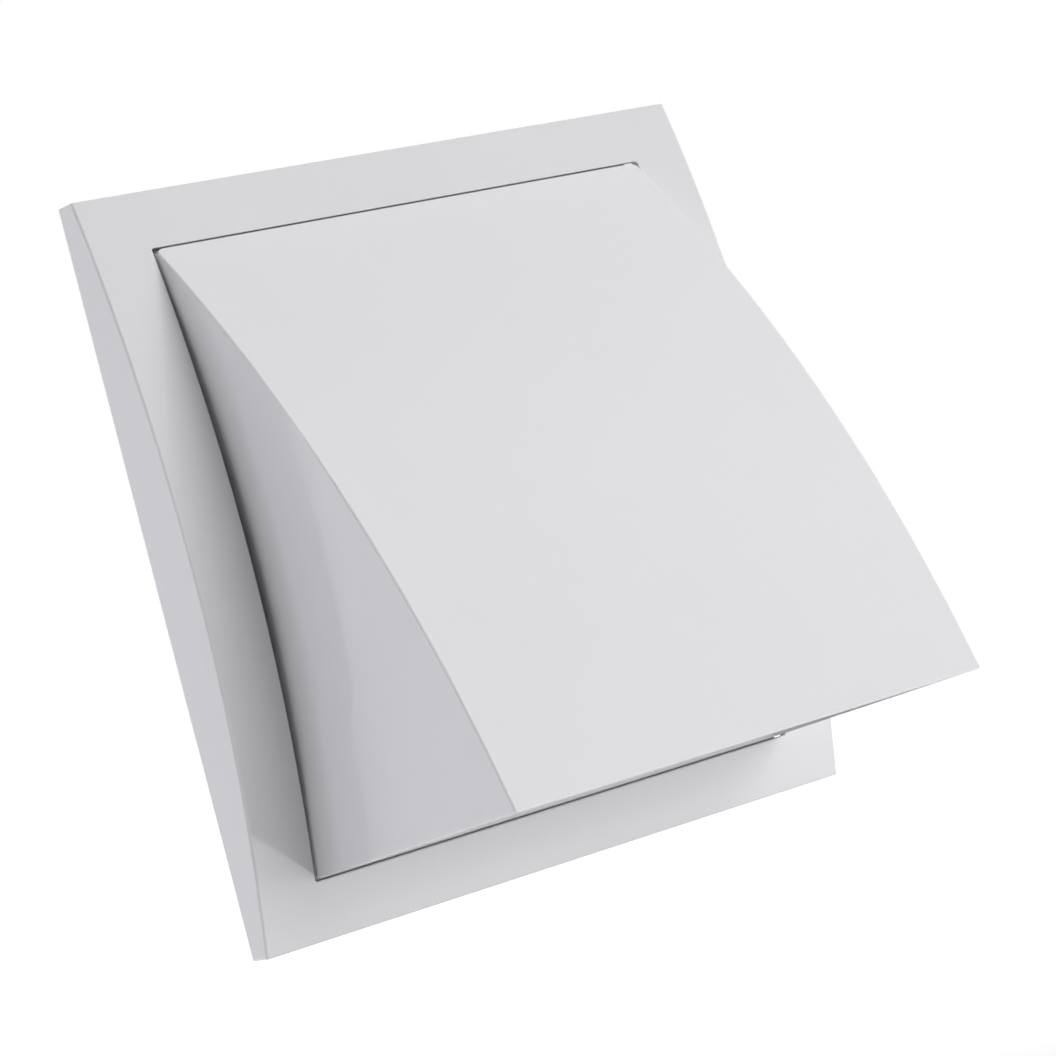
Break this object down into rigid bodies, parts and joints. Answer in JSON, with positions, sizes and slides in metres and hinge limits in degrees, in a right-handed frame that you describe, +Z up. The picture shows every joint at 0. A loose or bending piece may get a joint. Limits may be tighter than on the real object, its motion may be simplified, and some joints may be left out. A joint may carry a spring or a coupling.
{
  "type": "hooded wall vent",
  "caption": "Square wall vent cover with a bowed frame, a curved hood that opens downwards, a round duct spigot behind and a hinged non-return flap inside.",
  "frame": {"origin": "on the duct's axis in the wall plane, which is the back of the base plate and of the frame", "axes": "+Z up, +Y into the wall along the duct's axis, -Y out of the front, +X to the right seen from the front"},
  "size_m": [0.15, 0.1097, 0.15],
  "materials": {
    "frame_plastic": "smooth glossy white moulding",
    "hood_plastic": "smooth glossy white moulding",
    "base_plastic": "semi-gloss white moulding",
    "flap_plastic": "satin white moulding"
  },
  "bodies": {
    "housing": {"front_frame": "frame_plastic", "hood": "hood_plastic", "base_plate": "base_plastic"},
    "flap": {"flap": "flap_plastic"}
  },
  "joints": [
    {"name": "flap_hinge", "type": "hinge", "parent": "housing", "child": "flap", "pos_m": [0, -0.004, 0.052], "axis": [-1, 0, 0], "range_deg": [0, 34]}
  ]
}
